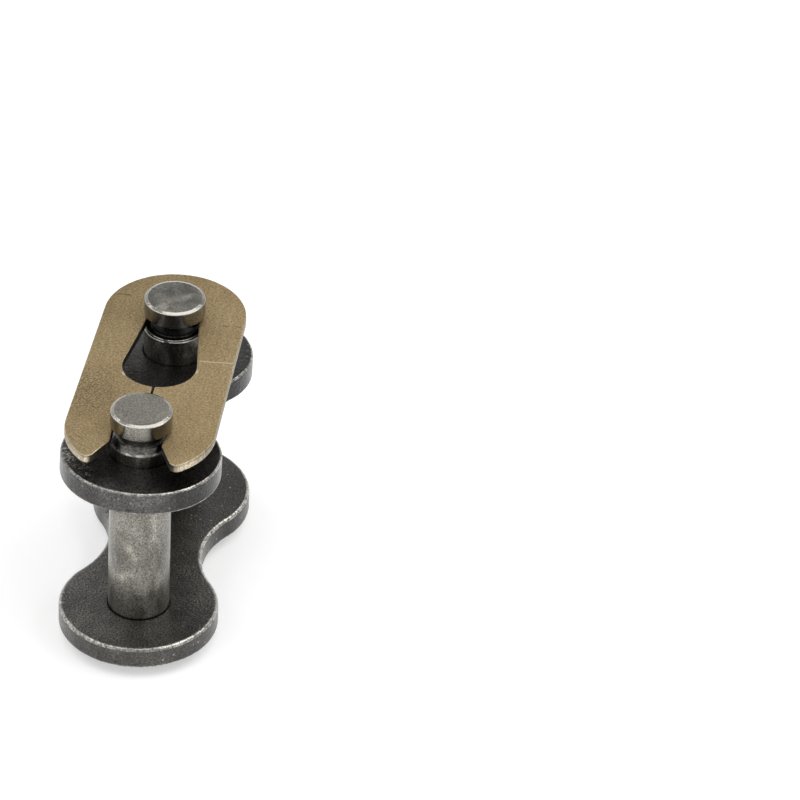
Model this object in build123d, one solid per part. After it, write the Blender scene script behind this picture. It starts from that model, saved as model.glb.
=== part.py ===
"""Spring-clip connecting link for a 1 inch pitch single-strand roller chain.

Two grooved pins are pressed into a figure-eight plate and riveted under it. A loose
cover plate slips over the pins, and a flat spring clip slides into their grooves.

Frame: millimetres, +Z up along the pins, z = 0 under the rivet ends, +X from the pin
in the clip's mouth to the pin in its keyhole, and x = 0 midway between them.
"""
from build123d import *
from math import acos, atan2, degrees, hypot, sqrt
import os

# ---- Chain sizes
pitch = 25.4                    # from pin to pin
pin_diameter = 7.94
inner_link_width = 22.6         # over the inner link that runs between the plates

# ---- Plates
plate_thickness = 3.1
lobe_diameter = 20.6            # round end about each pin
waist_width = 12.6              # narrowest place, between the pins
plate_edge_radius = 0.35        # tumbled edges

# ---- Pins
rivet_length = 1.5              # below the plate
rivet_diameter = 8.7
rivet_edge_radius = 0.9
neck_diameter = 6.04            # bottom of the clip's groove
groove_width = 2.1
head_thickness = 2.4            # above the groove
crown_width = 0.47              # low bevel round the head's top
crown_depth = 0.2
groove_chamfer = 0.16           # on both lips of the groove

# ---- Cover plate
cover_play = 0.17               # between a pin and its hole, all round
cover_binding_gap = 0.02        # what is left of the play where the plate leans and binds
cover_hole_chamfer = 0.2
cover_side_play = 0.24          # from the seated plate's top to the groove
cover_drop = 3.05               # from the groove down to the plate's top, where it hangs

# ---- Spring clip
clip_thickness = 1.15           # less than the groove, which leaves the same play on both sides
closed_end_diameter = 18.5
closed_end_reach = 9.5          # from the keyhole pin to that end
mouth_end_diameter = 19.0       # the legs stand a little open
mouth_end_reach = 9.2           # from the mouth pin to the end of that circle
release_travel = 11.45          # from the keyhole's narrow end to its wide end
head_clearance = 0.78           # a pin head in the wide end, all round
keyhole_clearance = 0.13        # a neck in the narrow end
pocket_clearance = 0.25         # a neck in the pocket behind the mouth
throat_clearance = 0.12         # a neck between the two corners of the throat
throat_reach = 3.35             # from the pin to those corners
throat_radius = 0.5
mouth_width = 10.5              # between the legs, near their ends
mouth_reach = 7.85              # from the pin to there
leg_tip_radius = 0.9
slit_width = 0.3
clip_edge_radius = 0.12

# ---- Places along Z
plate_bottom = rivet_length
plate_top = plate_bottom + plate_thickness
groove_bottom = plate_top + inner_link_width + plate_thickness + cover_side_play
groove_top = groove_bottom + groove_width
pin_top = groove_top + head_thickness
cover_middle = groove_bottom - cover_drop - plate_thickness / 2
clip_middle = (groove_bottom + groove_top) / 2

# ---- Places along X
mouth_x = -pitch / 2
keyhole_x = pitch / 2

# ---- Radii
pin_radius = pin_diameter / 2
neck_radius = neck_diameter / 2
rivet_radius = rivet_diameter / 2
cover_hole_radius = pin_radius + cover_play


def figure_eight():
    """Plate outline: a lobe about each pin, joined by a hollow arc on each side."""
    lobe = lobe_diameter / 2
    waist = waist_width / 2
    hollow = (pitch**2 / 4 + waist**2 - lobe**2) / (2 * (lobe - waist))
    hollow_y = waist + hollow
    turn = degrees(atan2(hollow_y, pitch / 2))
    arcs = [
        CenterArc((keyhole_x, 0), lobe, turn - 180, 360 - 2 * turn),
        CenterArc((0, hollow_y), hollow, turn - 180, 180 - 2 * turn),
        CenterArc((mouth_x, 0), lobe, turn, 360 - 2 * turn),
        CenterArc((0, -hollow_y), hollow, turn, 180 - 2 * turn),
    ]
    return make_face(arcs)


def pins_at(shape):
    """The same shape at both pins."""
    return [Pos(x, 0, 0) * shape for x in (mouth_x, keyhole_x)]


def plate_blank(hole_radius):
    """Flat blank with two holes and softened edges, centred on z = 0."""
    blank = extrude(figure_eight(), plate_thickness / 2, both=True)
    rims = blank.edges().filter_by(GeomType.LINE, reverse=True)
    blank = fillet(rims, plate_edge_radius)
    return blank - pins_at(Cylinder(hole_radius, plate_thickness))


def pin_link_plate():
    """Plate that holds the pins; its holes are the pins' own size, a press fit."""
    return Pos(0, 0, (plate_bottom + plate_top) / 2) * plate_blank(pin_radius)


def grooved_pin():
    """Pin with a riveted lower end, a groove for the clip and a flat head."""
    profile = Polyline(
        (0, 0),
        (rivet_radius, 0),
        (rivet_radius, plate_bottom),
        (pin_radius, plate_bottom),
        (pin_radius, groove_bottom - groove_chamfer),
        (pin_radius - groove_chamfer, groove_bottom),
        (neck_radius, groove_bottom),
        (neck_radius, groove_top),
        (pin_radius - groove_chamfer, groove_top),
        (pin_radius, groove_top + groove_chamfer),
        (pin_radius, pin_top - crown_depth),
        (pin_radius - crown_width, pin_top),
        (0, pin_top),
        close=True,
    )
    section = make_face(profile)
    rivet_corner = section.vertices().sort_by_distance((rivet_radius, 0))[0]
    section = fillet(rivet_corner, rivet_edge_radius)
    return revolve(Rot(90, 0, 0) * section, Axis.Z)


def cover_lean():
    """Angle at which the slack holes bind on the pins, in degrees.

    Leaning by a small angle t uses up plate_thickness * t of a hole's play, and
    half of (pitch + hole) * t squared, because the holes draw nearer to each other.
    """
    play = 2 * (cover_play - cover_binding_gap)
    span = pitch + 2 * cover_hole_radius
    return degrees((sqrt(plate_thickness**2 + 2 * span * play) - plate_thickness) / span)


def cover_plate():
    """Loose plate, hanging on the pins with its keyhole end lower."""
    blank = plate_blank(cover_hole_radius)
    rims = blank.edges().filter_by(GeomType.CIRCLE)
    rims = rims.filter_by(lambda rim: abs(rim.radius - cover_hole_radius) < 1e-6)
    blank = chamfer(rims, cover_hole_chamfer)
    return Pos(0, 0, cover_middle) * Rot(0, cover_lean(), 0) * blank


def belt(left_x, left_radius, right_x, right_radius):
    """Face inside a belt drawn tight round two circles on the X axis."""
    turn = degrees(acos((left_radius - right_radius) / (right_x - left_x)))
    left = CenterArc((left_x, 0), left_radius, turn, 360 - 2 * turn)
    right = CenterArc((right_x, 0), right_radius, -turn, 2 * turn)
    return make_face([left, right, Line(left @ 0, right @ 1), Line(right @ 0, left @ 1)])


def spring_clip():
    """Flat clip: closed round the keyhole pin, with a slit and an open mouth."""
    mouth_end = mouth_end_diameter / 2
    closed_end = closed_end_diameter / 2
    mouth_end_x = mouth_x - mouth_end_reach + mouth_end
    closed_end_x = keyhole_x + closed_end_reach - closed_end
    outline = belt(mouth_end_x, mouth_end, closed_end_x, closed_end)
    wide_x = keyhole_x - release_travel
    keyhole = belt(wide_x, pin_radius + head_clearance, keyhole_x, neck_radius + keyhole_clearance)
    pocket_radius = neck_radius + pocket_clearance
    pocket = Pos(mouth_x, 0) * Circle(pocket_radius)
    slit = Pos((mouth_x + wide_x) / 2, 0) * Rectangle(wide_x - mouth_x, slit_width)

    # The mouth narrows from the leg ends to the throat; its sides run on past the ends
    throat_x = mouth_x - throat_reach
    throat = neck_radius + throat_clearance
    flare = (mouth_width / 2 - throat) / (mouth_reach - throat_reach)
    outside_x = mouth_x - mouth_end_diameter
    outside = throat + flare * (throat_x - outside_x)
    mouth = make_face(Polyline(
        (mouth_x, pocket_radius),
        (throat_x, throat),
        (outside_x, outside),
        (outside_x, -outside),
        (throat_x, -throat),
        (mouth_x, -pocket_radius),
        close=True,
    ))
    sheet = outline - keyhole - pocket - slit - mouth
    leg_tips = sheet.vertices().sort_by(Axis.X)[:2]
    sheet = fillet(leg_tips, leg_tip_radius)
    corners = [v for v in sheet.vertices() if hypot(v.X - throat_x, abs(v.Y) - throat) < 1e-3]
    sheet = fillet(corners, throat_radius)
    clip = extrude(sheet, clip_thickness / 2, both=True)
    rims = clip.edges().filter_by(lambda rim: rim.bounding_box().size.Z < 1e-6)
    clip = chamfer(rims, clip_edge_radius)
    return Pos(0, 0, clip_middle) * clip


mouth_pin, keyhole_pin = pins_at(grooved_pin())
pieces = {
    "pin_link_plate": pin_link_plate(),
    "mouth_pin": mouth_pin,
    "keyhole_pin": keyhole_pin,
    "cover_plate": cover_plate(),
    "spring_clip": spring_clip(),
}

os.makedirs("parts", exist_ok=True)
for name, piece in pieces.items():
    export_step(piece, f"parts/{name}.step")
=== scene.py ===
from functools import partial
from math import acos, asin, atan, atan2, ceil, cos, degrees, hypot, pi, radians, sin, sqrt, tan

import bpy
from mathutils import Matrix, Vector


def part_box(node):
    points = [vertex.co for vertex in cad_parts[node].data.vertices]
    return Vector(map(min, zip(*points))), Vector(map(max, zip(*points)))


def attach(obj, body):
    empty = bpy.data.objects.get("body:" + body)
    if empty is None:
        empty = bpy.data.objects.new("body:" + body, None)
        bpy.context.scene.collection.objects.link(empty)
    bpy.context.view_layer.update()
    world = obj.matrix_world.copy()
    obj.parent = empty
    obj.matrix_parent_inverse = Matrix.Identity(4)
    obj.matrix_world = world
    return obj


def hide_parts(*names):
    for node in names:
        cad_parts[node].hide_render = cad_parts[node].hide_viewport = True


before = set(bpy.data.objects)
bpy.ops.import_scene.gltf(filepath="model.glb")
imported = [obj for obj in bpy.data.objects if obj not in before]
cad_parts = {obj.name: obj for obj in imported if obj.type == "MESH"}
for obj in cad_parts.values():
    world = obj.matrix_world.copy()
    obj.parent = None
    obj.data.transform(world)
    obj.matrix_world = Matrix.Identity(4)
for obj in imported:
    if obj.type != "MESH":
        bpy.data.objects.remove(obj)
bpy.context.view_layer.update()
mm = 0.001

# ---- Lower plate --------------------------------------------------------------------
# A figure-eight blank, sheared and punched from carbon steel strip, quenched, then tumbled
# and shot-blasted, which rounds its rims. The pins are pressed into its two holes.
plate_low, plate_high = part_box("pin_link_plate")
plate_thickness = plate_high.z - plate_low.z
plate_middle = (plate_high.z + plate_low.z) / 2
lobe_radius = (plate_high.y - plate_low.y) / 2
pitch = plate_high.x - plate_low.x - 2 * lobe_radius
waist = 6.3 * mm                # half of the narrowest width
plate_rim = 0.5 * mm            # tumbled edges
pin_radius = 3.97 * mm
punched_rim = 0.16 * mm         # broken edge of a punched hole
chord = 0.3 * mm                # length of one straight piece of an arc
same_place = 1e-7               # points closer than this are one
seam_gap = 1e-6                 # and this is bridged between a band and its cap
rim_land = 1.25                 # flat kept beside a rounded rim, over the rim's radius
rim_facet = 0.3                 # length of one facet of a rim, over its radius


def arc(x, y, radius, start, end):
    """Points along an arc about (x, y), with both ends; the angles are in degrees."""
    steps = max(3, ceil(abs(radians(end - start)) * radius / chord))
    turns = [radians(start + (end - start) * step / steps) for step in range(steps + 1)]
    return [(x + radius * cos(turn), y + radius * sin(turn)) for turn in turns]


def figure_eight(hole_radius):
    """Outline of a plate, counter-clockwise, and its two holes, clockwise."""
    half = pitch / 2
    hollow = (half**2 + waist**2 - lobe_radius**2) / (2 * (lobe_radius - waist))
    hollow_y = waist + hollow
    turn = degrees(atan2(hollow_y, half))
    outline = arc(half, 0, lobe_radius, turn - 180, 180 - turn)
    outline += arc(0, hollow_y, hollow, -turn, turn - 180)
    outline += arc(-half, 0, lobe_radius, turn, 360 - turn)
    outline += arc(0, -hollow_y, hollow, 180 - turn, turn)
    return [outline] + [arc(x, 0, hole_radius, 360, 0) for x in (-half, half)]


def new_object(name, data):
    """Object with this data, in the scene."""
    thing = bpy.data.objects.new(name, data)
    bpy.context.scene.collection.objects.link(thing)
    return thing


def drawn(name, lines, cyclic=True):
    """Curve object of straight-sided lines, without the points where two stretches meet twice."""
    curve = bpy.data.curves.new(name, "CURVE")
    curve.dimensions = "3D"
    curve.twist_mode = "Z_UP"
    for line in lines:
        steps = zip(line, line[-1:] + line)
        kept = [(x, y) for (x, y), last in steps if hypot(x - last[0], y - last[1]) > same_place]
        spline = curve.splines.new("POLY")
        spline.points.add(len(kept) - 1)
        for point, (x, y) in zip(spline.points, kept):
            point.co = (x, y, 0, 1)
        spline.use_cyclic_u = cyclic
    return new_object(name, curve)


def feed(node, inputs):
    """Give a node's named or numbered inputs a value, a node or a node's output."""
    shown = [socket for socket in node.inputs if socket.enabled]
    for name, value in inputs.items():
        socket = shown[name] if isinstance(name, int) else next(s for s in shown if s.name == name)
        if isinstance(value, bpy.types.Node):
            value = next(output for output in value.outputs if output.enabled)
        if isinstance(value, bpy.types.NodeSocket):
            node.id_data.links.new(value, socket)
        else:
            socket.default_value = value


def add_node(tree, kind, inputs=None, **settings):
    """Add a node with its settings and inputs; others get this as add, bound to a tree."""
    node = tree.nodes.new(kind)
    for setting, value in settings.items():
        setattr(node, setting, value)
    feed(node, inputs or {})
    return node


def new_tree(name, **inputs):
    """Geometry node tree with the named inputs; returns it, its add, and what comes in."""
    tree = bpy.data.node_groups.new(name, "GeometryNodeTree")
    tree.interface.new_socket(name="Geometry", in_out="INPUT", socket_type="NodeSocketGeometry")
    for label, kind in inputs.items():
        socket = "NodeSocket" + kind
        tree.interface.new_socket(name=label.replace("_", " "), in_out="INPUT", socket_type=socket)
    tree.interface.new_socket(name="Geometry", in_out="OUTPUT", socket_type="NodeSocketGeometry")
    add = partial(add_node, tree)
    return tree, add, add("NodeGroupInput").outputs


def made(piece, tree, place=Matrix.Identity(4), **inputs):
    """Run a drawn line through a tree and keep the result as a plain mesh, set in its place."""
    modifier = piece.modifiers.new(tree.name, "NODES")
    modifier.node_group = tree
    for socket in tree.interface.items_tree:
        value = inputs.get(socket.name.replace(" ", "_"))
        if value is not None:
            modifier[socket.identifier] = value
    evaluated = piece.evaluated_get(bpy.context.evaluated_depsgraph_get())
    mesh = bpy.data.meshes.new_from_object(evaluated)
    mesh.transform(place)
    mesh.materials.clear()
    mesh.materials.append(inputs["Material"])
    mesh.polygons.foreach_set("material_index", [0] * len(mesh.polygons))
    name = piece.name
    bpy.data.objects.remove(piece)
    return new_object(name, mesh)


def worn_rims():
    """Tree that marks rounded rims and upright sides, and dents the rims as tumbling does."""
    tree, add, given = new_tree("worn rims", Dent_Depth="Float", Dent_Size="Float", Seed="Float")
    normal = add("GeometryNodeInputNormal")
    level = add("ShaderNodeSeparateXYZ", {0: normal}).outputs["Z"]
    squared = add("ShaderNodeMath", {0: level, 1: level}, operation="MULTIPLY")
    steep = add("ShaderNodeMath", {0: 1.0, 1: squared}, operation="SUBTRACT")
    upright = add("ShaderNodeMath", {0: steep}, operation="SQRT")
    both = add("ShaderNodeMath", {0: upright, 1: level}, operation="MULTIPLY")
    slope = add("ShaderNodeMath", {0: both}, operation="ABSOLUTE")
    rim = add("ShaderNodeMath", {0: slope, 1: 2.0}, operation="MULTIPLY", use_clamp=True)
    marked = given["Geometry"]
    for name, value in (("rim", rim), ("side", upright)):
        inputs = {"Geometry": marked, "Name": name, "Value": value}
        marked = add("GeometryNodeStoreNamedAttribute", inputs)
    rate = add("ShaderNodeMath", {0: 1.0, 1: given["Dent Size"]}, operation="DIVIDE")
    inputs = {"Scale": rate, "W": given["Seed"], "Detail": 2.0}
    noise = add("ShaderNodeTexNoise", inputs, noise_dimensions="4D")
    inputs = {"Value": noise, "From Min": 0.38, "From Max": 0.72}
    dent = add("ShaderNodeMapRange", inputs, interpolation_type="SMOOTHSTEP")
    stored = add("GeometryNodeInputNamedAttribute", {"Name": "rim"}, data_type="FLOAT")
    share = add("ShaderNodeMath", {0: stored, 1: dent}, operation="MULTIPLY")
    depth = add("ShaderNodeMath", {0: share, 1: given["Dent Depth"]}, operation="MULTIPLY")
    inward = add("ShaderNodeMath", {0: depth, 1: -1.0}, operation="MULTIPLY")
    offset = add("ShaderNodeVectorMath", {"Vector": normal, "Scale": inward}, operation="SCALE")
    moved = add("GeometryNodeSetPosition", {"Geometry": marked, "Offset": offset})
    add("NodeGroupOutput", {"Geometry": moved})
    return tree


def finish_tree(add, given, solid):
    """Last steps of a tree: the solid's rims are worn and it gets its material."""
    inputs = {name: given[name] for name in ("Dent Depth", "Dent Size", "Seed")}
    worn = add("GeometryNodeGroup", {"Geometry": solid, **inputs}, node_tree=rim_wear)
    real = add("GeometryNodeRealizeInstances", {"Geometry": worn})
    finished = add("GeometryNodeSetMaterial", {"Geometry": real, "Material": given["Material"]})
    add("NodeGroupOutput", {"Geometry": finished})


def tumbled_blank():
    """Tree that turns a flat outline, whose first line is the outer one, into sheet with
    rounded rims."""
    tree, add, given = new_tree(
        "tumbled blank",
        Thickness="Float", Rim_Radius="Float", Hole_Rim_Radius="Float", Step="Float",
        Dent_Depth="Float", Dent_Size="Float", Seed="Float", Material="Material",
    )
    inputs = {"Curve": given["Geometry"], "Length": given["Step"]}
    lines = add("GeometryNodeResampleCurve", inputs, mode="LENGTH")
    inputs = {0: add("GeometryNodeInputIndex"), 1: 0}
    later = add("FunctionNodeCompare", inputs, data_type="INT", operation="GREATER_THAN")
    inputs = {"Geometry": lines, "Selection": later}
    split = add("GeometryNodeSeparateGeometry", inputs, domain="CURVE")
    half = add("ShaderNodeMath", {0: given["Thickness"], 1: 0.5}, operation="MULTIPLY")
    minus_half = add("ShaderNodeMath", {0: half, 1: -1.0}, operation="MULTIPLY")

    # A band of wall along each line, with its two rims
    bands = add("GeometryNodeJoinGeometry")
    for line, radius in (("Inverted", "Rim Radius"), ("Selection", "Hole Rim Radius")):
        land = add("ShaderNodeMath", {0: given[radius], 1: -rim_land}, operation="MULTIPLY")
        corners = ((land, half), (0.0, half), (0.0, minus_half), (land, minus_half))
        places = [add("ShaderNodeCombineXYZ", {"X": x, "Y": y}) for x, y in corners]
        inputs = {f"Point {number}": place for number, place in enumerate(places, 1)}
        section = add("GeometryNodeCurvePrimitiveQuadrilateral", inputs, mode="POINTS")
        section = add("GeometryNodeSetSplineCyclic", {"Geometry": section, "Cyclic": False})
        inputs = {"Curve": section, "Radius": given[radius], "Count": 8}
        section = add("GeometryNodeFilletCurve", inputs, mode="POLY")
        facet = add("ShaderNodeMath", {0: given[radius], 1: rim_facet}, operation="MULTIPLY")
        inputs = {"Curve": section, "Length": facet}
        section = add("GeometryNodeResampleCurve", inputs, mode="LENGTH")
        inputs = {"Curve": split.outputs[line], "Profile Curve": section}
        feed(bands, {"Geometry": add("GeometryNodeCurveToMesh", inputs)})
    band = add("GeometryNodeFlipFaces", {"Mesh": bands})
    whole = add("GeometryNodeJoinGeometry")
    feed(whole, {"Geometry": add("GeometryNodeSetShadeSmooth", {"Geometry": band})})

    # Top and bottom, filled between the bands
    height = add("ShaderNodeSeparateXYZ", {0: add("GeometryNodeInputPosition")}).outputs["Z"]
    inputs = {0: add("GeometryNodeInputMeshEdgeNeighbors"), 1: 1}
    single = add("FunctionNodeCompare", inputs, data_type="INT", operation="EQUAL")
    for side, level, turned in (("GREATER_THAN", half, False), ("LESS_THAN", minus_half, True)):
        there = add("FunctionNodeCompare", {0: height, 1: 0.0}, operation=side)
        rim = add("FunctionNodeBooleanMath", {0: single, 1: there}, operation="AND")
        loops = add("GeometryNodeMeshToCurve", {"Mesh": band, "Selection": rim})
        cap = add("GeometryNodeFillCurve", {"Curve": loops})
        rise = add("ShaderNodeCombineXYZ", {"Z": level})
        cap = add("GeometryNodeSetPosition", {"Geometry": cap, "Offset": rise})
        if turned:
            cap = add("GeometryNodeFlipFaces", {"Mesh": cap})
        cap = add("GeometryNodeSetShadeSmooth", {"Geometry": cap, "Shade Smooth": False})
        feed(whole, {"Geometry": cap})
    closed = add("GeometryNodeMergeByDistance", {"Geometry": whole, "Distance": seam_gap})
    finish_tree(add, given, closed)
    return tree


def linear(code):
    """Colour written as an sRGB hex value, in the linear values that a shader takes."""
    parts = [int(code[start:start + 2], 16) / 255 for start in (1, 3, 5)]
    return [p / 12.92 if p <= 0.04045 else ((p + 0.055) / 1.055) ** 2.4 for p in parts] + [1]


def new_material(name):
    """Material with nodes; returns it, its add, and the place on the object."""
    material = bpy.data.materials.new(name)
    material.use_nodes = True
    add = partial(add_node, material.node_tree)
    return material, add, add("ShaderNodeTexCoord").outputs["Object"]


def toned(add, shade, *ramps):
    """A shade times ramps, each of a value that runs from start to end and gives first to last."""
    for value, start, end, first, last in ramps:
        inputs = {
            "Value": value, "From Min": start, "From Max": end, "To Min": first, "To Max": last,
        }
        factor = add("ShaderNodeMapRange", inputs)
        shade = add("ShaderNodeMath", {0: shade, 1: factor}, operation="MULTIPLY")
    return shade


def from_pin_axis(add, parts):
    """Distance from the nearer pin's axis, for the parts X and Y of a place."""
    from_middle = add("ShaderNodeMath", {0: parts["X"]}, operation="ABSOLUTE")
    across = add("ShaderNodeMath", {0: from_middle, 1: pitch / 2}, operation="SUBTRACT")
    level = add("ShaderNodeCombineXYZ", {"X": across, "Y": parts["Y"]})
    return add("ShaderNodeVectorMath", {0: level}, operation="LENGTH").outputs["Value"]


def scratch(add, start, end, width, strength=1.0):
    """Mask of a mark between two points in mm: its strength in the middle, 0 from its width on."""
    here = add("ShaderNodeTexCoord").outputs["Object"]
    start = Vector(start) * mm
    run = Vector(end) * mm - start
    out = add("ShaderNodeVectorMath", {0: here, 1: start}, operation="SUBTRACT")
    along = add("ShaderNodeVectorMath", {0: out, 1: run.normalized()}, operation="DOT_PRODUCT")
    inputs = {"Value": along.outputs["Value"], "From Max": run.length, "To Max": run.length}
    along = add("ShaderNodeMapRange", inputs)
    nearest = add("ShaderNodeVectorMath", {0: run.normalized(), "Scale": along}, operation="SCALE")
    far = add("ShaderNodeVectorMath", {0: out, 1: nearest}, operation="DISTANCE")
    inputs = {
        "Value": far.outputs["Value"], "From Max": width * mm, "To Min": strength, "To Max": 0.0,
    }
    return add("ShaderNodeMapRange", inputs, interpolation_type="SMOOTHSTEP")


def shot_blasted_steel(
    name, shift, tones, clouds, top_tone, sheared_tone, lobe_side_shades, far_shade_tone, pin_shade_tone,
    gloss, coat, rim_highlights, speck_glint, scuffs,
):
    """Hardened carbon steel, tumbled and shot-blasted, with a film of oil: nearly black and finely
    pitted flats, paler sheared sides, rims rubbed bright with a painted highlight, painted glints,
    and painted shade round the pins."""
    material, add, here = new_material(name)
    place = add("ShaderNodeMapping", {"Vector": here, "Location": (shift, shift, shift)})
    parts = add("ShaderNodeSeparateXYZ", {0: here}).outputs

    # Grit, drawn about twice as coarse as the real one, so that it shows
    inputs = {"Vector": place, "Scale": 1 / (0.23 * mm), "Detail": 3.0, "Roughness": 0.6}
    grit = add("ShaderNodeTexNoise", inputs)
    inputs = {"Vector": place, "Scale": 1 / (0.5 * mm), "Smoothness": 0.5}
    pits = add("ShaderNodeTexVoronoi", inputs, feature="SMOOTH_F1")
    inputs = {"Vector": place, "Scale": 1 / (2.6 * mm), "Detail": 4.0, "Roughness": 0.55}
    mottle = add("ShaderNodeTexNoise", inputs)
    share = add("ShaderNodeMapRange", {"Value": mottle, "From Min": 0.3, "From Max": 0.7})
    inputs = {"Factor": share, "A": linear(tones[0]), "B": linear(tones[1])}
    tone = add("ShaderNodeMix", inputs, data_type="RGBA")
    inputs = {"Value": grit, "From Min": 0.33, "From Max": 0.67, "To Min": 0.1, "To Max": 1.9}
    speckle = add("ShaderNodeMapRange", inputs)

    # Sheared sides, of another tone and less speckled than the top, and painted shade round each
    # pin
    side = add("ShaderNodeAttribute", attribute_name="side").outputs["Fac"]
    inputs = {"Value": side, "From Min": 0.5, "From Max": 0.95, "To Max": 0.35}
    calm = add("ShaderNodeMapRange", inputs)
    speckle = add("ShaderNodeMix", {"Factor": calm, "A": speckle, "B": 1.0})
    cloud = add("ShaderNodeTexNoise", {"Vector": place, "Scale": 1 / (7 * mm), "Detail": 3.0})
    # Painted shade: the plate darker towards its far end
    inputs = {
        "Value": parts["X"], "From Min": -5 * mm, "From Max": 9 * mm,
        "To Min": 1.0, "To Max": far_shade_tone,
    }
    far_end_shade = add("ShaderNodeMapRange", inputs, interpolation_type="SMOOTHSTEP")
    from_axis = from_pin_axis(add, parts)
    shade = toned(
        add, add("ShaderNodeMath", {0: speckle, 1: far_end_shade}, operation="MULTIPLY"),
        (cloud, 0.35, 0.65, *clouds),
        (side, 0.5, 0.95, top_tone, sheared_tone),
        # Painted shade towards the sides of the lobes, most on one side
        (parts["Y"], 3 * mm, 10 * mm, 1.0, lobe_side_shades[0]),
        (parts["Y"], -3 * mm, -10 * mm, 1.0, lobe_side_shades[1]),
        (from_axis, pin_radius + 0.05 * mm, pin_radius + 0.35 * mm, pin_shade_tone, 1.0),
    )
    steel = add("ShaderNodeVectorMath", {0: tone, "Scale": shade}, operation="SCALE")

    # Rims rubbed bright in patches, with a painted highlight that is strongest along one side and,
    # on the other side, only at the near end; not the rims round the pins
    rim = add("ShaderNodeAttribute", attribute_name="rim").outputs["Fac"]
    inputs = {"Value": rim, "From Min": 0.2, "From Max": 0.75}
    wear = add("ShaderNodeMapRange", inputs, interpolation_type="SMOOTHSTEP")
    stretch = add("ShaderNodeTexNoise", {"Vector": place, "Scale": 1 / (5 * mm), "Detail": 1.0})
    chipped = add("ShaderNodeTexNoise", {"Vector": place, "Scale": 1 / (0.55 * mm), "Detail": 2.0})
    inputs = {"Value": parts["X"], "From Min": -11 * mm, "From Max": -6 * mm}
    inputs |= {"To Min": rim_highlights[0], "To Max": 0.3 * rim_highlights[0]}
    left = add("ShaderNodeMapRange", inputs)
    wear = toned(
        add, wear,
        (grit, 0.35, 0.6, 0.35, 1.0),
        (chipped, 0.4, 0.58, 0.4, 1.2),
        (stretch, 0.35, 0.65, 0.55, 1.0),
        (from_axis, pin_radius + 0.5 * mm, pin_radius + mm, 0.0, 1.0),
        (parts["Y"], 3 * mm, -7 * mm, left, rim_highlights[1]),
    )

    # Painted glints on single grains and on a few pale specks, and patches where the scale is
    # scuffed off
    inputs = {"Value": grit, "From Min": 0.68, "From Max": 0.78, "To Max": 0.6}
    bright = [add("ShaderNodeMapRange", inputs)]
    specks = add("ShaderNodeTexVoronoi", {"Vector": place, "Scale": 1 / (0.7 * mm)}).outputs
    within = add("ShaderNodeMath", {0: specks["Distance"], 1: 0.22}, operation="LESS_THAN")
    chance = add("ShaderNodeSeparateXYZ", {0: specks["Color"]}).outputs["X"]
    chosen = add("ShaderNodeMath", {0: chance, 1: 0.88}, operation="GREATER_THAN")
    speck = add("ShaderNodeMath", {0: within, 1: chosen}, operation="MULTIPLY")
    bright.append(add("ShaderNodeMath", {0: speck, 1: speck_glint}, operation="MULTIPLY"))
    inputs = {"Value": chipped, "From Min": 0.48, "From Max": 0.57, "To Max": 0.95}
    chips = add("ShaderNodeMapRange", inputs)
    for start, end, width in scuffs:
        inputs = {0: scratch(add, start, end, width), 1: chips}
        bright.append(add("ShaderNodeMath", inputs, operation="MULTIPLY"))
    for mask in bright:
        wear = add("ShaderNodeMath", {0: wear, 1: mask}, operation="MAXIMUM")
    inputs = {"Factor": wear, "A": steel, "B": linear("#cbc7bf")}
    colour = add("ShaderNodeMix", inputs, data_type="RGBA")
    rough = add("ShaderNodeMix", {"Factor": wear, "A": gloss, "B": 0.25})

    sunk = add("ShaderNodeMath", {0: pits, 1: 0.8}, operation="MULTIPLY")
    relief = add("ShaderNodeMath", {0: grit, 1: sunk}, operation="ADD")
    bump = add("ShaderNodeBump", {"Height": relief, "Distance": 0.055 * mm, "Strength": 0.8})
    feed(material.node_tree.nodes["Principled BSDF"], {
        "Base Color": colour, "Metallic": 1.0, "Roughness": rough, "Normal": bump,
        "Coat Weight": coat, "Coat Roughness": 0.3,
    })
    return material


rim_wear = worn_rims()
blank_tree = tumbled_blank()
lower_plate = made(
    drawn("lower_plate", figure_eight(pin_radius)),
    blank_tree,
    Matrix.Translation((0, 0, plate_middle)),
    Thickness=plate_thickness, Rim_Radius=plate_rim, Hole_Rim_Radius=punched_rim, Step=0.15 * mm,
    Dent_Depth=0.02 * mm, Dent_Size=0.9 * mm, Seed=3.0,
    Material=shot_blasted_steel(
        "shot-blasted plate steel", 0.0, tones=("#53514e", "#686561"), clouds=(0.75, 1.35),
        top_tone=1.25, sheared_tone=0.64, lobe_side_shades=(1.0, 0.92), far_shade_tone=0.4, pin_shade_tone=0.3,
        gloss=0.36, coat=0.4, rim_highlights=(0.95, 1.45), speck_glint=0.4, scuffs=[],
    ),
)
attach(lower_plate, "pin_link")
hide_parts("pin_link_plate")

# ---- Grooved pins -------------------------------------------------------------------
# Two alloy steel pins, turned with a groove under the head, case-hardened, ground and tumbled
# to a satin grey. Their lower ends are riveted over under the lower plate.
pin_low, pin_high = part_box("mouth_pin")
pin_top = pin_high.z
rivet_radius = (pin_high.y - pin_low.y) / 2
neck_radius = 3.02 * mm
groove_bottom = 30.54 * mm      # heights of the groove's two ends
groove_top = 32.64 * mm
crown_width = 0.47 * mm         # slightly sloping edge of the head's top
crown_depth = 0.2 * mm
crown_bottom = pin_top - crown_depth
groove_chamfer = 0.16 * mm
crown_rounding = 0.25 * mm      # radii of the corners, from the head's top downwards
head_rounding = 0.15 * mm
edge_rounding = 0.06 * mm
lip_rounding = 0.05 * mm
neck_rounding = 0.1 * mm
rivet_rounding = 0.9 * mm
corner_land = 0.06 * mm         # short straight piece on either side of a corner's arc
corner_facets = 6
shade_depth = 4 * mm            # how far under the groove the painted shade reaches


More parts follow.
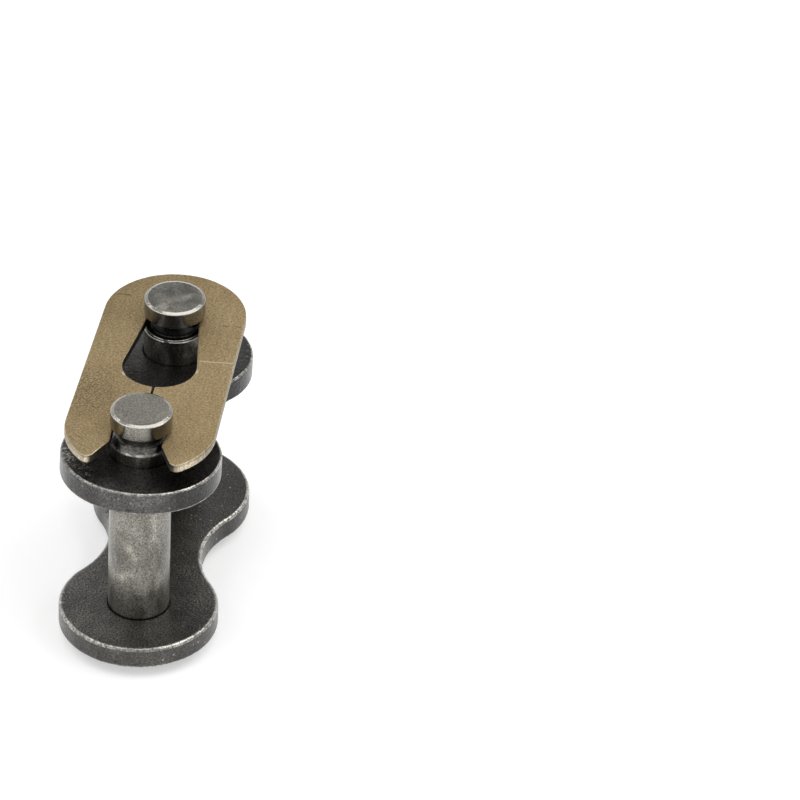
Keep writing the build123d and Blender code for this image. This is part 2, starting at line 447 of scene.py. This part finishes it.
def rounded(corners):
    """Line through corners (x, y, radius), each one an arc with a short straight land beside it."""
    line = []
    befores = corners[:1] + corners
    afters = corners[1:] + corners[-1:]
    for before, (x, y, radius), after in zip(befores, corners, afters):
        corner = Vector((x, y))
        if not radius:
            line.append((x, y))
            continue
        back = (Vector(before[:2]) - corner).normalized()
        on = (Vector(after[:2]) - corner).normalized()
        half = back.angle(on) / 2
        centre = corner + (back + on).normalized() * radius / sin(half)
        first = corner + back * radius / tan(half)
        last = corner + on * radius / tan(half)
        line.append(tuple(first + back * corner_land))
        for step in range(corner_facets + 1):
            spoke = (first - centre).slerp(last - centre, step / corner_facets)
            line.append(tuple(centre + radius * spoke.normalized()))
        line.append(tuple(last + on * corner_land))
    return line


def pin_section(groove_floor):
    """Half of a pin, whose groove ends below in these corners."""
    return rounded([
        (0, pin_top, 0),
        (pin_radius - crown_width, pin_top, crown_rounding),
        (pin_radius, crown_bottom, head_rounding),
        (pin_radius, groove_top + groove_chamfer, edge_rounding),
        (pin_radius - groove_chamfer, groove_top, lip_rounding),
        (neck_radius, groove_top, neck_rounding),
        *groove_floor,
        (pin_radius, plate_high.z, 0),
        (pin_radius, plate_low.z, 0),
        (rivet_radius, plate_low.z, 0),
        (rivet_radius, 0, rivet_rounding),
        (0, 0, 0),
    ])


def turned_pin():
    """Tree that turns a half section about an upright axis."""
    tree, add, given = new_tree(
        "turned pin",
        Axis_X="Float", Facets="Int",
        Dent_Depth="Float", Dent_Size="Float", Seed="Float", Material="Material",
    )
    inputs = {"Resolution": given["Facets"], "Radius": mm}
    circle = add("GeometryNodeCurvePrimitiveCircle", inputs, mode="RADIUS")
    rail = add("GeometryNodeSetCurveNormal", {"Curve": circle}, mode="Z_UP")
    inputs = {"Geometry": given["Geometry"], "Translation": (-mm, 0, 0), "Scale": (1, -1, 1)}
    section = add("GeometryNodeTransform", inputs)
    skin = add("GeometryNodeCurveToMesh", {"Curve": rail, "Profile Curve": section})
    skin = add("GeometryNodeMergeByDistance", {"Geometry": skin, "Distance": same_place})
    skin = add("GeometryNodeSetShadeSmooth", {"Geometry": skin})
    aside = add("ShaderNodeCombineXYZ", {"X": given["Axis X"]})
    skin = add("GeometryNodeTransform", {"Geometry": skin, "Translation": aside})
    finish_tree(add, given, skin)
    return tree


def tumbled_pin_steel(
    name, shift, head_tone, head_side_tone, head_gloss, head_evenness, crown_wear, front_highlight,
    groove_tone, shoulder_shade_tone, flank_reflection, lip_edges, lip_wear, lip_highlight, marks,
):
    """Case-hardened alloy steel, ground and tumbled, with a film of oil: satin grey with soft
    blotches, brighter on its rims. It is darker in and under the groove, with painted shade on
    the shoulder and a painted shadow just under the head."""
    material, add, here = new_material(name)
    parts = add("ShaderNodeSeparateXYZ", {0: here}).outputs
    height = parts["Z"]
    in_head = add("ShaderNodeMath", {0: height, 1: groove_top}, operation="GREATER_THAN")

    # Grain and blotches; the grain is drawn about twice as coarse as the real one, so that it shows
    inputs = {"Vector": here, "Location": (shift, shift, 0), "Scale": (1, 1, 0.45)}
    tall = add("ShaderNodeMapping", inputs)
    inputs = {"Vector": here, "Scale": 1 / (0.22 * mm), "Detail": 3.0, "Roughness": 0.6}
    grain = add("ShaderNodeTexNoise", inputs)
    inputs = {
        "Vector": tall, "Scale": 1 / (1.9 * mm), "Detail": 3.0, "Roughness": 0.5, "Distortion": 0.6,
    }
    blotch = add("ShaderNodeTexNoise", inputs)
    share = add("ShaderNodeMapRange", {"Value": blotch, "From Min": 0.3, "From Max": 0.7})
    inputs = {"Value": grain, "From Min": 0.3, "From Max": 0.7, "To Min": 0.3, "To Max": 1.7}
    speckle = add("ShaderNodeMapRange", inputs)
    even = add("ShaderNodeMath", {0: in_head, 1: head_evenness}, operation="MULTIPLY")
    smooth = add("ShaderNodeMath", {0: in_head, 1: 0.3}, operation="MULTIPLY")
    share = add("ShaderNodeMix", {"Factor": even, "A": share, "B": 0.5})
    speckle = add("ShaderNodeMix", {"Factor": smooth, "A": speckle, "B": 1.0})
    inputs = {"Factor": share, "A": linear("#5f5c55"), "B": linear("#8e8b82")}
    tone = add("ShaderNodeMix", inputs, data_type="RGBA")

    # Darker in and under the groove, broken up by the blotches: painted shade on the shoulder, and
    # a painted shadow just under the head
    shade_end = groove_bottom - shade_depth
    inputs = {"Value": height, "From Min": shade_end - 0.4 * mm, "From Max": shade_end + 0.4 * mm}
    upper = add("ShaderNodeMapRange", inputs)
    inputs = {"Value": blotch, "From Min": 0.35, "From Max": 0.65}
    inputs |= {"To Min": 0.5 * shoulder_shade_tone, "To Max": 1.5 * shoulder_shade_tone}
    blotched_shade = add("ShaderNodeMapRange", inputs)
    shoulder = add("ShaderNodeMix", {"Factor": upper, "A": 1.0, "B": blotched_shade})
    inputs = {0: height, 1: groove_bottom - 0.2 * mm}
    in_groove = add("ShaderNodeMath", inputs, operation="GREATER_THAN")
    shadow_under_head = {
        "Value": height, "From Min": groove_top - 1.15 * mm, "From Max": groove_top - 0.75 * mm,
        "To Min": groove_tone, "To Max": 0.35 * groove_tone,
    }
    pits = add("ShaderNodeTexNoise", {"Vector": here, "Scale": 1 / (0.4 * mm), "Detail": 1.0})
    groove_darkened = toned(add, add("ShaderNodeMapRange", shadow_under_head), (pits, 0.35, 0.65, 0.6, 1.4))
    groove_darkened = add("ShaderNodeMix", {"Factor": in_groove, "A": shoulder, "B": groove_darkened})
    factors = [speckle, add("ShaderNodeMix", {"Factor": in_head, "A": groove_darkened, "B": head_tone})]

    # Painted reflection on the flanks beside the front, darker on one pin and lighter on the other,
    # the head's side of another tone, and painted shade in a seam where the pin enters the plate
    aside = add("ShaderNodeMath", {0: parts["Y"], 1: 0.4 * mm}, operation="SUBTRACT")
    aside = add("ShaderNodeMath", {0: aside}, operation="ABSOLUTE")
    flank = toned(add, 1.0, (aside, 1.7 * mm, 2.3 * mm, 1.0, flank_reflection))
    for where, factor in ((upper, flank), (in_head, head_side_tone)):
        where = toned(add, where, (height, crown_bottom - 0.1 * mm, crown_bottom, 1.0, 0.0))
        factors.append(add("ShaderNodeMix", {"Factor": where, "A": 1.0, "B": factor}))
    shade = toned(
        add, 1.0,
        # Painted shade in the seam where the pin enters the plate
        (height, plate_high.z + 0.08 * mm, plate_high.z + 0.3 * mm, 0.15, 1.0),
        *((scratch(add, *line), 0.0, 1.0, 1.0, tone_there) for *line, tone_there in marks),
    )
    for factor in factors:
        shade = add("ShaderNodeMath", {0: shade, 1: factor}, operation="MULTIPLY")
    steel = add("ShaderNodeVectorMath", {0: tone, "Scale": shade}, operation="SCALE")

    # Worn rims, and the head's crown, rubbed all round and with a painted highlight on its side
    # towards the mouth end
    rim = add("ShaderNodeAttribute", attribute_name="rim").outputs["Fac"]
    inputs = {"Value": rim, "From Min": 0.68, "From Max": 1.0}
    wear = add("ShaderNodeMapRange", inputs, interpolation_type="SMOOTHSTEP")
    wear = toned(add, wear, (grain, 0.35, 0.6, 0.4, 1.0))
    inputs = {
        "Value": height, "From Min": crown_bottom - 0.05 * mm, "From Max": crown_bottom + 0.06 * mm,
    }
    high = add("ShaderNodeMapRange", inputs)
    sloping = add("ShaderNodeMapRange", {"Value": rim, "From Min": 0.4, "From Max": 0.65})
    crown = add("ShaderNodeMath", {0: high, 1: sloping}, operation="MULTIPLY")
    facing = add("ShaderNodeNewGeometry").outputs["Normal"]
    facing = add("ShaderNodeSeparateXYZ", {0: facing}).outputs["X"]
    crown_wear_and_highlight = toned(add, crown, (facing, -0.1, -0.3, crown_wear, front_highlight))
    wear = add("ShaderNodeMath", {0: wear, 1: crown_wear_and_highlight}, operation="MAXIMUM")

    # Under the head only the edges of the shoulder's lip are worn, in patches, with a painted
    # highlight along them
    from_axis = from_pin_axis(add, parts)
    inputs = {
        "Value": from_axis, "From Min": pin_radius - 0.35 * mm, "From Max": pin_radius - 0.25 * mm,
    }
    outer = add("ShaderNodeMapRange", inputs)
    bits = add("ShaderNodeTexNoise", {"Vector": tall, "Scale": 1 / (0.9 * mm), "Detail": 1.0})
    patches = toned(add, outer, (bits, lip_wear, lip_wear + 0.1, 0.1, lip_highlight))
    lip = 0.0
    for edge, width in lip_edges:
        above = add("ShaderNodeMath", {0: height, 1: edge}, operation="SUBTRACT")
        away = add("ShaderNodeMath", {0: above}, operation="ABSOLUTE")
        inputs = {
            "Value": away, "From Min": 0.5 * width, "From Max": width, "To Min": 1.0, "To Max": 0.0,
        }
        line = add("ShaderNodeMapRange", inputs)
        lip = add("ShaderNodeMath", {0: lip, 1: line}, operation="MAXIMUM")
    lip = add("ShaderNodeMath", {0: lip, 1: patches}, operation="MULTIPLY")
    wear = add("ShaderNodeMix", {"Factor": in_head, "A": lip, "B": wear})
    inputs = {"Factor": wear, "A": steel, "B": linear("#c2bfb7")}
    colour = add("ShaderNodeMix", inputs, data_type="RGBA")
    inputs = {"Value": blotch, "From Min": 0.3, "From Max": 0.7, "To Min": 0.34, "To Max": 0.44}
    rough = add("ShaderNodeMapRange", inputs)
    rough = add("ShaderNodeMix", {"Factor": crown, "A": rough, "B": 0.17})

    # The head's side keeps some of its ground gloss
    side = add("ShaderNodeAttribute", attribute_name="side").outputs["Fac"]
    upright = add("ShaderNodeMath", {0: side, 1: 0.97}, operation="GREATER_THAN")
    ground = add("ShaderNodeMath", {0: upright, 1: in_head}, operation="MULTIPLY")
    rough = add("ShaderNodeMix", {"Factor": ground, "A": rough, "B": head_gloss})
    fine = add("ShaderNodeBump", {"Height": grain, "Distance": 0.02 * mm, "Strength": 0.6})
    inputs = {"Height": blotch, "Distance": 0.05 * mm, "Strength": 0.5, "Normal": fine}
    broad = add("ShaderNodeBump", inputs)
    feed(material.node_tree.nodes["Principled BSDF"], {
        "Base Color": colour, "Metallic": 1.0, "Roughness": rough, "Normal": broad,
        "Coat Weight": 0.6, "Coat Roughness": 0.25,
    })
    return material


pin_tree = turned_pin()

# Rubbed and wiped marks: start, end and width in mm, and tone
crescent = [
    (-16.4, 1.5, 16.6), (-16.6, 0.8, 15.7), (-16.7, 0, 14.3),
    (-16.6, 0.5, 11.8), (-16.3, 1.8, 10.9), (-15.5, 2.8, 10.7),
]
rubbed_shank = [(start, end, 1.1, 1.35) for start, end in zip(crescent, crescent[1:])]
rubbed_shank.append(((-16, -2.2, 21.1), (-15.8, -2.5, 16.7), 0.9, 1.45))
head_top = pin_top / mm
wiped_top = [
    ((9.9, 2.0, head_top), (10.8, 1.1, head_top), 0.55, 1.9),
    ((9.5, 1.4, head_top), (10.2, 0.7, head_top), 0.6, 1.9),
    ((9.4, 0.7, head_top), (9.3, 0.2, head_top), 0.45, 1.6),
    ((11.9, 0, head_top), (13.3, -1.6, head_top), 1.2, 1.5),
]

# Lower ends of the two grooves, as corners (x, y, radius)
worn_floor = [
    (neck_radius, groove_bottom + 0.55 * mm, 0.5 * mm),
    (pin_radius, groove_bottom - 0.2 * mm, 0.15 * mm),
]
sharp_floor = [
    (neck_radius, groove_bottom + 0.2 * mm, 0.15 * mm),
    (pin_radius - 0.2 * mm, groove_bottom + 0.2 * mm, 0.05 * mm),
    (pin_radius, groove_bottom - 0.05 * mm, 0.06 * mm),
]

# Each lip edge is a height and the width of its wear and painted highlight
mouth_pin_finish = {
    "head_tone": 1.55, "head_side_tone": 0.85, "head_gloss": 0.22, "head_evenness": 0.8,
    "crown_wear": 0.35, "front_highlight": 0.8, "groove_tone": 0.4, "shoulder_shade_tone": 0.5,
    "flank_reflection": 0.25, "lip_edges": [(groove_bottom - 0.1 * mm, 0.13 * mm)],
    "lip_wear": 0.46, "lip_highlight": 0.6, "marks": rubbed_shank,
}
keyhole_pin_finish = {
    "head_tone": 1.0, "head_side_tone": 0.4, "head_gloss": 0.38, "head_evenness": 0.1,
    "crown_wear": 0.4, "front_highlight": 0.95, "groove_tone": 0.06, "shoulder_shade_tone": 0.35,
    "flank_reflection": 1.8,
    "lip_edges": [(groove_bottom - 0.05 * mm, 0.1 * mm), (groove_bottom + 0.2 * mm, 0.06 * mm)],
    "lip_wear": 0.35, "lip_highlight": 1.0, "marks": wiped_top,
}

for node, side, seed, floor_line, finish in (
    ("mouth_pin", -1, 11.0, worn_floor, mouth_pin_finish),
    ("keyhole_pin", 1, 23.0, sharp_floor, keyhole_pin_finish),
):
    pin_steel = tumbled_pin_steel("tumbled steel of " + node, seed * mm, **finish)
    pin = made(
        drawn("grooved_" + node, [pin_section(floor_line)], cyclic=False),
        pin_tree,
        Axis_X=side * pitch / 2, Facets=192,
        Dent_Depth=0.03 * mm, Dent_Size=0.5 * mm, Seed=seed, Material=pin_steel,
    )
    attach(pin, "pin_link")
    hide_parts(node)

# ---- Cover plate --------------------------------------------------------------------
# The same blank as the lower plate with wider holes, so that it slips over the pins. It hangs
# loose on them and leans until its holes bind.
cover_low, cover_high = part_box("cover_plate")
cover_hole_radius = 4.14 * mm
cover_hole_rim = 0.08 * mm
cover_rim = 0.35 * mm
cover_flat = max(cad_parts["cover_plate"].data.polygons, key=lambda face: face.area).normal
cover_up = cover_flat if cover_flat.z > 0 else -cover_flat
sideways_lean = radians(0.9)
scuff_z = 28.9                  # in mm, as the rest of the scuffs: start, end and width
cover_scuffs = [
    ((-14.4, 9.7, scuff_z), (-16.8, 8.2, scuff_z), 1.05),
    ((-17.9, 7.4, scuff_z), (-19.8, 5.6, scuff_z), 0.95),
    ((-17.0, 6.5, scuff_z), (-18.2, 5.5, scuff_z), 0.6),
]
cover_turn = Vector((0, 0, 1)).rotation_difference(cover_up).to_matrix()
cover_turn @= Matrix.Rotation(sideways_lean, 3, "X")
cover_place = Matrix.Translation((cover_low + cover_high) / 2) @ cover_turn.to_4x4()
upper_plate = made(
    drawn("upper_plate", figure_eight(cover_hole_radius)),
    blank_tree,
    cover_place,
    Thickness=plate_thickness, Rim_Radius=cover_rim, Hole_Rim_Radius=cover_hole_rim, Step=0.15 * mm,
    Dent_Depth=0.02 * mm, Dent_Size=0.9 * mm, Seed=7.0,
    Material=shot_blasted_steel(
        "shot-blasted cover steel", 0.2, tones=("#504f4e", "#656361"), clouds=(0.55, 1.6),
        top_tone=1.0, sheared_tone=0.72, lobe_side_shades=(0.5, 0.16), far_shade_tone=0.7, pin_shade_tone=0.7,
        gloss=0.29, coat=0.3, rim_highlights=(0.75, 1.4), speck_glint=0.2, scuffs=cover_scuffs,
    ),
)
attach(upper_plate, "cover")
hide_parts("cover_plate")

# ---- Spring clip --------------------------------------------------------------------
# A flat clip blanked from spring steel strip and tempered to a straw bronze. Its keyhole passes
# over one pin's head, its legs grip the other pin's neck, and a slit lets them spread.
clip_low, clip_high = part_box("spring_clip")
clip_thickness = clip_high.z - clip_low.z
mouth_x = -pitch / 2
keyhole_x = pitch / 2
closed_end = 9.25 * mm          # radius of the outline's round ends
mouth_end = (clip_high.y - clip_low.y) / 2
closed_end_x = clip_high.x - closed_end
mouth_end_reach = 9.2 * mm      # from the pin to the outline's end at the mouth
mouth_end_x = mouth_x - mouth_end_reach + mouth_end
release_travel = 11.45 * mm     # from the keyhole's narrow end to its wide end
wide_x = keyhole_x - release_travel
wide_radius = 4.75 * mm         # keyhole's wide end
narrow_radius = 3.15 * mm       # and its narrow end
pocket_radius = 3.27 * mm       # about the other neck, behind the mouth
throat_reach = 3.35 * mm        # from the pin to the throat's corners
mouth_reach = 7.85 * mm         # and to where the mouth has its full width
throat_x = mouth_x - throat_reach
outer_x = mouth_x - mouth_reach
throat = 3.14 * mm              # half widths of the throat, the mouth and the slit
mouth = 5.25 * mm
slit = 0.15 * mm
leg_tip = 0.9 * mm              # radii of the corners
throat_corner = 0.5 * mm
slit_corner = 0.2 * mm
leg_spring = 0.0165             # slope of the sprung leg
spring_start = 4.5 * mm         # where along X it starts to bend
leg_inside = 0.5 * mm           # and where across Y, from nothing to the full bend
leg_blend = 3 * mm
clip_rim = 0.12 * mm


def belt_turn(left_x, left_radius, right_x, right_radius):
    """Angle, at both circles, of the line that runs over them."""
    return degrees(acos((left_radius - right_radius) / (right_x - left_x)))


def clip_outline():
    """Edge of the clip, once round: out along one leg, in as far as the keyhole, and back."""
    turn = belt_turn(mouth_end_x, mouth_end, closed_end_x, closed_end)
    half = arc(closed_end_x, 0, closed_end, 0, turn)

    # Leg tip: a small circle inside the round end that rests on the mouth's side
    flare = atan((mouth - throat) / (throat_x - outer_x))
    outward = Vector((-cos(flare), sin(flare)))
    into_leg = Vector((sin(flare), cos(flare)))
    start = Vector((throat_x, throat)) + leg_tip * into_leg - Vector((mouth_end_x, 0))
    along = -start.dot(outward)
    run = along + sqrt(along**2 - start.length_squared + (mouth_end - leg_tip) ** 2)
    tip = start + run * outward
    meet = degrees(atan2(tip.y, tip.x))
    half += arc(mouth_end_x, 0, mouth_end, turn, meet)
    half += arc(mouth_end_x + tip.x, tip.y, leg_tip, meet, 270 - degrees(flare))

    # Throat corner, between the mouth's side and the line to the pocket
    rise = atan((pocket_radius - throat) / (mouth_x - throat_x))
    bisector = pi / 2 + (rise - flare) / 2
    reach = throat_corner / cos((flare + rise) / 2)
    x = throat_x + reach * cos(bisector)
    y = throat + reach * sin(bisector)
    half += arc(x, y, throat_corner, 270 - degrees(flare), 270 + degrees(rise))

    # Pocket, slit and keyhole; the slit's ends are rounded into both
    in_pocket = asin((slit + slit_corner) / (pocket_radius + slit_corner))
    in_keyhole = asin((slit + slit_corner) / (wide_radius + slit_corner))
    half += arc(mouth_x, 0, pocket_radius, 90, degrees(in_pocket))
    x = mouth_x + (pocket_radius + slit_corner) * cos(in_pocket)
    half += arc(x, slit + slit_corner, slit_corner, 180 + degrees(in_pocket), 270)
    x = wide_x - (wide_radius + slit_corner) * cos(in_keyhole)
    half += arc(x, slit + slit_corner, slit_corner, 270, 360 - degrees(in_keyhole))
    turn = belt_turn(wide_x, wide_radius, keyhole_x, narrow_radius)
    half += arc(wide_x, 0, wide_radius, 180 - degrees(in_keyhole), turn)
    half += arc(keyhole_x, 0, narrow_radius, turn, 0)

    # One leg has been sprung a little outwards
    sprung = []
    for x, y in half:
        spread = min(1, max(0, (y - leg_inside) / leg_blend))
        sprung.append((x, y + spread * leg_spring * max(0, spring_start - x)))
    return sprung + [(x, -y) for x, y in reversed(half)]


def straw_tempered_steel(name):
    """Spring steel strip with the straw-bronze oxide of tempering: matt and finely grained, faintly
    streaked along the strip, paler where the die sheared it and where the edges rub."""
    material, add, here = new_material(name)
    parts = add("ShaderNodeSeparateXYZ", {0: here}).outputs
    top = clip_high.z

    # Grain, drawn about twice as coarse as the real one, so that it shows, clouds and streaks
    inputs = {"Vector": here, "Scale": 1 / (0.27 * mm), "Detail": 3.0, "Roughness": 0.6}
    grain = add("ShaderNodeTexNoise", inputs)
    inputs = {"Vector": here, "Scale": 1 / (7 * mm), "Detail": 3.0, "Roughness": 0.5}
    cloud = add("ShaderNodeTexNoise", inputs)
    rolled = add("ShaderNodeMapping", {"Vector": here, "Scale": (0.06, 1, 1)})
    inputs = {"Vector": rolled, "Scale": 1 / (0.9 * mm), "Detail": 3.0, "Roughness": 0.55}
    streaks = add("ShaderNodeTexNoise", inputs)
    share = add("ShaderNodeMapRange", {"Value": cloud, "From Min": 0.3, "From Max": 0.7})
    inputs = {"Factor": share, "A": linear("#aa956f"), "B": linear("#b9a47e")}
    tone = add("ShaderNodeMix", inputs, data_type="RGBA")

    # Painted shade: an underside greyer and darker than the top; and a slight change of tone across
    # and along
    facing = add("ShaderNodeNewGeometry").outputs["Normal"]
    facing = add("ShaderNodeSeparateXYZ", {0: facing}).outputs["Z"]
    inputs = {"Value": facing, "From Min": -0.9, "From Max": -0.6, "To Min": 0.6, "To Max": 0.0}
    underside_shade = add("ShaderNodeMapRange", inputs)
    inputs = {"Factor": underside_shade, "A": tone, "B": linear("#8f8c86")}
    tone = add("ShaderNodeMix", inputs, data_type="RGBA")
    shade = toned(
        add, 1.0,
        (facing, -0.9, -0.6, 0.45, 1.0),
        (grain, 0.3, 0.7, 0.6, 1.4),
        (streaks, 0.3, 0.7, 0.95, 1.05),
        (parts["Y"], -9 * mm, 9 * mm, 1.07, 0.93),
        (parts["X"], 0.0, 16 * mm, 1.0, 0.92),
    )

    # Sheared sides: brown where the die burnished them, paler at the legs' tips, and painted shade
    # on the sides near the middle, in the slit, keyhole, pocket and mouth and round the far end
    side = add("ShaderNodeAttribute", attribute_name="side").outputs["Fac"]
    upright = add("ShaderNodeMapRange", {"Value": side, "From Min": 0.6, "From Max": 0.95})
    from_middle = add("ShaderNodeMath", {0: parts["Y"]}, operation="ABSOLUTE")
    tall = add("ShaderNodeMapping", {"Vector": here, "Scale": (1, 1, 0.15)})
    torn = add("ShaderNodeTexNoise", {"Vector": tall, "Scale": 1 / (0.35 * mm), "Detail": 2.0})
    sheared = toned(
        add, 1.0,
        (torn, 0.3, 0.7, 0.7, 1.3),
        (parts["X"], -19 * mm, -16 * mm, 1.1, 0.65),
        (parts["Z"], top - 0.5 * mm, top - 0.25 * mm, 1.0, 0.7),
        (from_middle, 5.3 * mm, 5.8 * mm, 0.2, 1.0),
    )
    sheared = add("ShaderNodeMix", {"Factor": upright, "A": 1.0, "B": sheared})
    shade = add("ShaderNodeMath", {0: shade, 1: sheared}, operation="MULTIPLY")
    bare = add("ShaderNodeMath", {0: upright, 1: 0.75}, operation="MULTIPLY")
    inputs = {"Factor": bare, "A": tone, "B": linear("#bdb5a3")}
    tone = add("ShaderNodeMix", inputs, data_type="RGBA")

    # A darker patch on one leg, and dark scratches
    inputs = {0: here, 1: (-6 * mm, 8 * mm, top)}
    far = add("ShaderNodeVectorMath", inputs, operation="DISTANCE").outputs["Value"]
    inputs = {"Value": far, "From Min": 1 * mm, "From Max": 7.5 * mm, "To Min": 1.0, "To Max": 0.0}
    patch = add("ShaderNodeMapRange", inputs, interpolation_type="SMOOTHSTEP")
    dark = toned(add, patch, (grain, 0.35, 0.65, 0.55, 0.0))
    for start, end, width, strength in (
        ((16.2, 8.0), (16.2, 6.3), 0.13, 1.0), ((11.5, -6.6), (11.45, -7.2), 0.15, 1.0),
        ((11.6, -8.1), (11.5, -8.8), 0.1, 1.0), ((-14.9, 8.7), (-18.1, 5.3), 0.12, 0.5),
        ((-16.3, 8.6), (-18.3, 6.0), 0.12, 0.4), ((-15.4, 7.4), (-17.0, 5.6), 0.1, 0.4),
        ((-4.0, 9.3), (-5.2, 7.4), 0.1, 0.8), ((-5.6, 9.0), (-7.0, 7.2), 0.12, 0.8),
        ((-7.5, 8.8), (-8.7, 7.0), 0.1, 0.8),
    ):
        mark = scratch(add, (*start, top / mm), (*end, top / mm), width, strength)
        dark = add("ShaderNodeMath", {0: dark, 1: mark}, operation="MAXIMUM")
    shade = toned(add, shade, (dark, 0.0, 1.0, 1.0, 0.35))
    steel = add("ShaderNodeVectorMath", {0: tone, "Scale": shade}, operation="SCALE")

    # Edges rubbed pale, a long scratch across a leg, two burrs at the keyhole, and a painted glint
    # along the rim of one leg's tip
    rim = add("ShaderNodeAttribute", attribute_name="rim").outputs["Fac"]
    inputs = {"Value": rim, "From Min": 0.55, "From Max": 0.95}
    pale = add("ShaderNodeMapRange", inputs, interpolation_type="SMOOTHSTEP")
    pale = toned(add, pale, (grain, 0.35, 0.65, 0.15, 0.8))
    for start, end, width in (
        ((3.1, -4.9), (3.4, -9.15), 0.16), ((-1.2, 4.35), (-1.6, 4.15), 0.35),
        ((0.4, -4.85), (0.9, -4.9), 0.3), ((-19.75, 5.25), (-18.5, 4.75), 0.16),
    ):
        mark = scratch(add, (*start, top / mm), (*end, top / mm), width)
        pale = add("ShaderNodeMath", {0: pale, 1: mark}, operation="MAXIMUM")
    inputs = {"Factor": pale, "A": steel, "B": linear("#e0d6bd")}
    colour = add("ShaderNodeMix", inputs, data_type="RGBA")
    bump = add("ShaderNodeBump", {"Height": grain, "Distance": 0.02 * mm, "Strength": 0.6})
    feed(material.node_tree.nodes["Principled BSDF"], {
        "Base Color": colour, "Metallic": 1.0, "Roughness": 0.5, "Normal": bump,
    })
    return material


clip = made(
    drawn("flat_spring_clip", [clip_outline()]),
    blank_tree,
    Matrix.Translation((0, 0, (clip_low.z + clip_high.z) / 2)),
    Thickness=clip_thickness, Rim_Radius=clip_rim, Hole_Rim_Radius=clip_rim, Step=0.12 * mm,
    Dent_Depth=0.02 * mm, Dent_Size=0.6 * mm, Seed=5.0,
    Material=straw_tempered_steel("straw-tempered spring steel"),
)
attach(clip, "clip")
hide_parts("spring_clip")

# ---- Studio -------------------------------------------------------------------------
# White paper on a table, which the view and its reflections see glowing, pale walls all round, and
# three soft boxes: a broad one overhead and a narrow one on either side.
bpy.context.scene.view_settings.view_transform = "Standard"
reach = 3.0
paper_glow = 0.44
sheet = [(-reach, -reach, 0), (reach, -reach, 0), (reach, reach, 0), (-reach, reach, 0)]
floor_mesh = bpy.data.meshes.new("white_paper")
floor_mesh.from_pydata(sheet, [], [(0, 1, 2, 3)])
floor = new_object("white_paper", floor_mesh)
paper = bpy.data.materials.new("white paper")
paper.use_nodes = True
add_to_paper = partial(add_node, paper.node_tree)
rays = add_to_paper("ShaderNodeLightPath").outputs
seen = rays["Is Camera Ray"]
for kind in ("Is Glossy Ray", "Is Transmission Ray"):
    seen = add_to_paper("ShaderNodeMath", {0: seen, 1: rays[kind]}, operation="MAXIMUM")
glow = add_to_paper("ShaderNodeMath", {0: seen, 1: paper_glow}, operation="MULTIPLY")
feed(paper.node_tree.nodes["Principled BSDF"], {
    "Base Color": (0.7, 0.7, 0.7, 1), "Roughness": 0.9, "Specular IOR Level": 0.1,
    "Emission Color": (1, 1, 1, 1), "Emission Strength": glow,
})
floor.data.materials.append(paper)

world = bpy.data.worlds.new("pale studio")
bpy.context.scene.world = world
world.use_nodes = True
add_to_sky = partial(add_node, world.node_tree)
direction = add_to_sky("ShaderNodeTexCoord").outputs["Generated"]
parts = add_to_sky("ShaderNodeSeparateXYZ", {0: direction}).outputs
inputs = {"Value": parts["Z"], "From Min": 0.3, "From Max": 0.75, "To Min": 0.9, "To Max": 0.4}
wall = add_to_sky("ShaderNodeMapRange", inputs, interpolation_type="SMOOTHSTEP")
walls = toned(add_to_sky, wall, (parts["Y"], -1.0, 1.0, 0.7, 1.15))
feed(world.node_tree.nodes["Background"], {"Color": (1, 1, 1, 1), "Strength": walls})

link_middle = Vector((0, 0, 0.02))


def soft_box(name, place, width, height, power):
    """Square lamp at a place in metres, turned towards the link."""
    lamp = bpy.data.lights.new(name, "AREA")
    lamp.shape = "RECTANGLE"
    lamp.size = width
    lamp.size_y = height
    lamp.energy = power
    box = new_object(name, lamp)
    turn = (link_middle - Vector(place)).to_track_quat("-Z", "Y")
    box.matrix_world = Matrix.Translation(place) @ turn.to_matrix().to_4x4()


soft_box("overhead_soft_box", (-0.1, -0.08, 1.1), 1.8, 1.0, 6.9)
soft_box("right_soft_box", (0.1, -0.8, 1.0), 1.6, 0.3, 4.2)
soft_box("left_soft_box", (-0.1, 0.8, 1.0), 1.6, 0.3, 2.2)

# ---- Camera -------------------------------------------------------------------------
# It looks down along the link from its mouth end, and the link stands left of the middle.
yaw = radians(83.44)            # turn of the view about the upright
dip = radians(35.47)            # slope of the view below the horizon
roll = radians(2.49)
pins_away = 110.8               # distance of the view, over a pin's diameter
pin_pixels = 60.714             # a pin's diameter at that distance
render_pixels = 800             # and the render's width
link_left = 32.06 * mm          # from the view's middle to the link's foot, square to the view
link_below = 21.21 * mm
link_foot = Vector((0, 0, plate_low.z))
view_distance = pins_away * 2 * pin_radius
focal_scale = pin_pixels * pins_away / render_pixels    # focal length over the sensor's width

camera_data = bpy.data.cameras.new("camera")
camera = new_object("camera", camera_data)
across = Vector((cos(yaw), -sin(yaw), 0))
away = Vector((sin(yaw), cos(yaw), 0))
upright = Vector((0, 0, 1))
ahead = cos(dip) * away - sin(dip) * upright
above = sin(dip) * away + cos(dip) * upright
right = cos(roll) * across + sin(roll) * above
above = cos(roll) * above - sin(roll) * across
spot = link_foot + link_left * right + link_below * above - view_distance * ahead
facing = Matrix((right, above, -ahead)).transposed().to_4x4()
camera.matrix_world = Matrix.Translation(spot) @ facing
camera_data.lens = focal_scale * camera_data.sensor_width
camera_data.clip_start = 0.01
camera_data.clip_end = 20
bpy.context.scene.camera = camera
